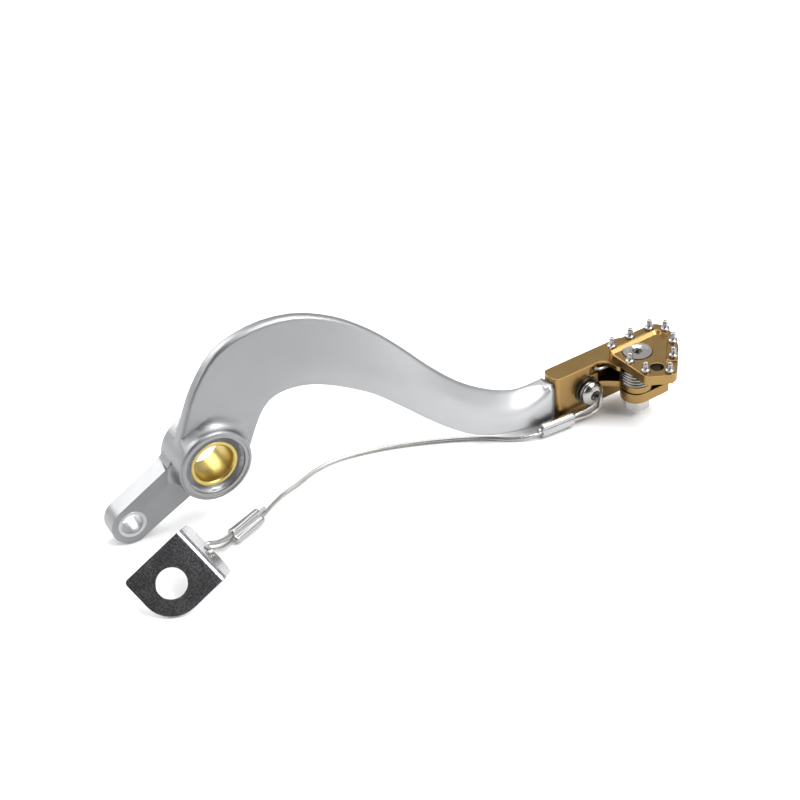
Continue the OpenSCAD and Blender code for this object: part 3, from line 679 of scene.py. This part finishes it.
def metal(name, light, dark, rough, grain, depth, stretch=None, uneven=0.15, specks=None, painted_shade=None):
    """Metal with a faint cloudy tone, uneven gloss and fine grain of this scale and depth.

    stretch draws the grain out into brushed streaks, and specks is the scale of dark specks. fade paints
    shade
    along X, darkening the tone: where it starts and ends, in metres, and the share of the tone that is left
    at first.
    """
    n = Nodes(name)
    cloud = n.ramp(n.noise(*CLOUDS), *CLOUD_BAND)
    tone = n.mix(cloud, colour(dark), colour(light))
    fine = n.noise(grain, *GRAIN_DETAIL, stretch)
    if stretch:
        streaks = n.ramp(fine, *STREAK_BAND, to_high=STREAK_SHARE)
        tone = n.mix(streaks, tone, colour(dark, STREAK_TONE))
    if specks:
        spots = n.ramp(n.noise(specks, *SPECK_DETAIL), *SPECK_BAND)
        tone = n.mix(spots, colour(dark, SPECK_TONE), tone)
    # Painted shade: the tone darkens along X towards where it starts
    if painted_shade:
        start, end, share = painted_shade
        x = n.add("ShaderNodeSeparateXYZ", {0: n.place}).outputs[0]
        tone = n.mix(n.ramp(x, start, end), colour(dark, share), tone)
    n.set("Base Color", tone)
    n.set("Metallic", 1.0)
    gloss = n.ramp(n.noise(*GLOSS), *GLOSS_BAND, rough * (1 - uneven), rough * (1 + uneven))
    n.set("Roughness", gloss)
    n.bump(fine, depth * MM)
    return n.material


# Finishes, and dark colours of painted shade: light and dark tone, roughness, scale and depth of the grain,
# and what only some of them have
FINISHES_AND_PAINTED_SHADES = {
    # Painted shade on the aluminium: its tone is darker towards the boss, at the rear of the arm
    "satin_aluminium": dict(light=(0.43, 0.435, 0.445), dark=(0.41, 0.415, 0.425), rough=0.42, grain=3500,
                            depth=0.006, uneven=0.06, painted_shade=(0.02, 0.13, 0.66)),
    "gold_anodised": dict(light=(0.285, 0.181, 0.067), dark=(0.265, 0.167, 0.061), rough=0.30, grain=4000,
                          depth=0.004, uneven=0.08),
    "brass": dict(light=(0.56, 0.44, 0.15), dark=(0.49, 0.37, 0.12), rough=0.33, grain=700, depth=0.010,
                  stretch=(0.3, 8, 0.3)),
    "bright_steel": dict(light=(0.50, 0.49, 0.48), dark=(0.45, 0.44, 0.43), rough=0.20, grain=2500,
                         depth=0.004),
    "cleat_steel": dict(light=(0.36, 0.345, 0.335), dark=(0.29, 0.28, 0.27), rough=0.26, grain=2500,
                        depth=0.006),
    "spring_steel": dict(light=(0.27, 0.255, 0.24), dark=(0.21, 0.20, 0.19), rough=0.24, grain=2500,
                         depth=0.005),
    "rope_steel": dict(light=(0.46, 0.45, 0.43), dark=(0.38, 0.37, 0.36), rough=0.32, grain=2500,
                       depth=0.006),
    "screw_steel": dict(light=(0.36, 0.35, 0.34), dark=(0.31, 0.30, 0.29), rough=0.20, grain=2500,
                        depth=0.004),
    "liner_steel": dict(light=(0.52, 0.53, 0.54), dark=(0.46, 0.47, 0.48), rough=0.40, grain=2500,
                        depth=0.004),
    "ferrule_steel": dict(light=(0.42, 0.42, 0.42), dark=(0.37, 0.37, 0.38), rough=0.20, grain=1500,
                          depth=0.004),
    # Painted shade: two dark colours for the insides of holes and sockets, and for the bracket washer
    "shaded_hole": dict(light=(0.030, 0.024, 0.016), dark=(0.020, 0.016, 0.010), rough=0.45, grain=2500,
                        depth=0.004),
    "shaded_socket": dict(light=(0.10, 0.095, 0.09), dark=(0.07, 0.065, 0.06), rough=0.35, grain=2500,
                          depth=0.004),
    "tab_steel": dict(light=(0.60, 0.60, 0.62), dark=(0.50, 0.50, 0.52), rough=0.22, grain=2200,
                      depth=0.015, specks=1500),
}
looks = {name: metal(name, **appearance) for name, appearance in FINISHES_AND_PAINTED_SHADES.items()}

# Nodes whose piece has a material of its own, and not their slot's. The bracket washer's is painted shade: it
# is dark like the shade beside the bolt head.
OWN_FINISH_AND_PAINTED_SHADE = {"bracket_bolt": "screw_steel", "bracket_washer": "shaded_socket", "clevis_bush": "liner_steel"}
# Painted shade inside a hole and two sockets: their faces get a dark material. In the tip's own frame: the
# axis, the middle across it, the radius, and where they start and end along the axis
X, Y, Z = range(3)
DARK_INSIDES = [
    ("foot_tip", "shaded_hole", Z, (-1.2, -13.6), 2.9, 0.3, 4.3),
    ("tip_pivot_bolt", "shaded_socket", Z, (0, 0), 2.4, 2.2, 4.55),
    ("bracket_bolt", "shaded_socket", Y, (-19.5, -11), 2.35, -math.inf, 5),
]


def dress(obj, appearance):
    """Gives the whole of an object one material."""
    obj.data.materials.clear()
    obj.data.materials.append(looks[appearance])


def darken(piece, appearance, axis, middle, radius, start, end):
    """Paints shade on the faces inside a round hole or socket, with a dark material of their own."""
    piece.data.materials.append(looks[appearance])
    for polygon in piece.data.polygons:
        place = in_tip(polygon.center)
        across = [place[i] for i in (X, Y, Z) if i != axis]
        if math.dist(across, middle) < radius and start < place[axis] < end:
            polygon.material_index = 1


for name, obj in nodes.items():
    dress(obj, slot_of[name])
for name, piece in pieces.items():
    dress(piece, OWN_FINISH_AND_PAINTED_SHADE.get(name, slot_of[name]))
for name, appearance, *inside in DARK_INSIDES:
    darken(pieces[name], appearance, *inside)
for piece in ropes:
    dress(piece, "rope_steel")
for piece in (front_sleeve, rear_sleeve):
    dress(piece, "ferrule_steel")
dress(wound, "spring_steel")
dress(slope, "gold_anodised")
for fillet in fillets:
    dress(fillet, "satin_aluminium")

# Studio: a pale floor, and a white surround that darkens behind the camera. It darkens from one cosine of
# the angle to the camera's direction on, and is darkest from the other.
FLOOR_Z = -27.6
FLOOR_HALF = 3000
FLOOR_TONE = (0.9, 0.9, 0.9)
FLOOR_ROUGH = 0.9
DARKENS_FROM = 0.6
DARKEST_FROM = 0.97
DARKEST = 0.12
SURROUND_STRENGTH = 0.64
# Soft square lamps: place and width in metres, power in watts, and the point that each is aimed at
ORIGIN = (0, 0, 0)
LAMPS = [
    ("key_lamp", (0.3, 0.1, 0.95), 0.8, 7.0, ORIGIN),
    ("back_lamp", (-0.34, 0.72, 0.59), 0.7, 7.0, ORIGIN),
    ("toe_lamp", (0.37, -0.36, 0.07), 0.3, 0.3, (0.16, -0.03, 0)),
    ("fill_lamp", (-0.8, 0.1, 0.5), 0.6, 2.5, ORIGIN),
    ("edge_lamp", (0.36, -0.54, 0.76), 0.5, 8.0, ORIGIN),
]


def make_floor():
    """Wide pale floor under the object."""
    corners = [(-FLOOR_HALF, -FLOOR_HALF), (FLOOR_HALF, -FLOOR_HALF), (FLOOR_HALF, FLOOR_HALF),
               (-FLOOR_HALF, FLOOR_HALF)]
    floor = new_object("floor", [(x, y, FLOOR_Z) for x, y in corners], [(0, 1, 2, 3)], smooth=False)
    n = Nodes("pale_floor")
    n.set("Base Color", colour(FLOOR_TONE))
    n.set("Roughness", FLOOR_ROUGH)
    floor.data.materials.append(n.material)


def make_world():
    """White surround, darker behind the camera, so that the metal has something to reflect."""
    world = bpy.data.worlds.new("surround")
    world.use_nodes = True
    bpy.context.scene.world = world
    tree = world.node_tree
    place = tree.nodes.new("ShaderNodeTexCoord")
    dot = tree.nodes.new("ShaderNodeVectorMath")
    dot.operation = "DOT_PRODUCT"
    dot.inputs[1].default_value = direction(CAMERA_AZIMUTH, CAMERA_ELEVATION)
    tree.links.new(place.outputs["Generated"], dot.inputs[0])
    shade = tree.nodes.new("ShaderNodeMapRange")
    shade.interpolation_type = "SMOOTHSTEP"
    for socket, value in ((1, DARKENS_FROM), (2, DARKEST_FROM), (3, 1.0), (4, DARKEST)):
        shade.inputs[socket].default_value = value
    tree.links.new(dot.outputs["Value"], shade.inputs[0])
    tree.links.new(shade.outputs[0], tree.nodes["Background"].inputs["Color"])
    tree.nodes["Background"].inputs["Strength"].default_value = SURROUND_STRENGTH


def make_lamp(name, place, size, power, target):
    """Square area lamp, aimed at the target."""
    lamp = bpy.data.objects.new(name, bpy.data.lights.new(name, "AREA"))
    lamp.data.size = size
    lamp.data.energy = power
    lamp.location = place
    lamp.rotation_euler = (Vector(target) - Vector(place)).to_track_quat("-Z", "Y").to_euler()
    bpy.context.collection.objects.link(lamp)


make_floor()
make_world()
for lamp in LAMPS:
    make_lamp(*lamp)
bpy.context.scene.view_settings.view_transform = "Standard"
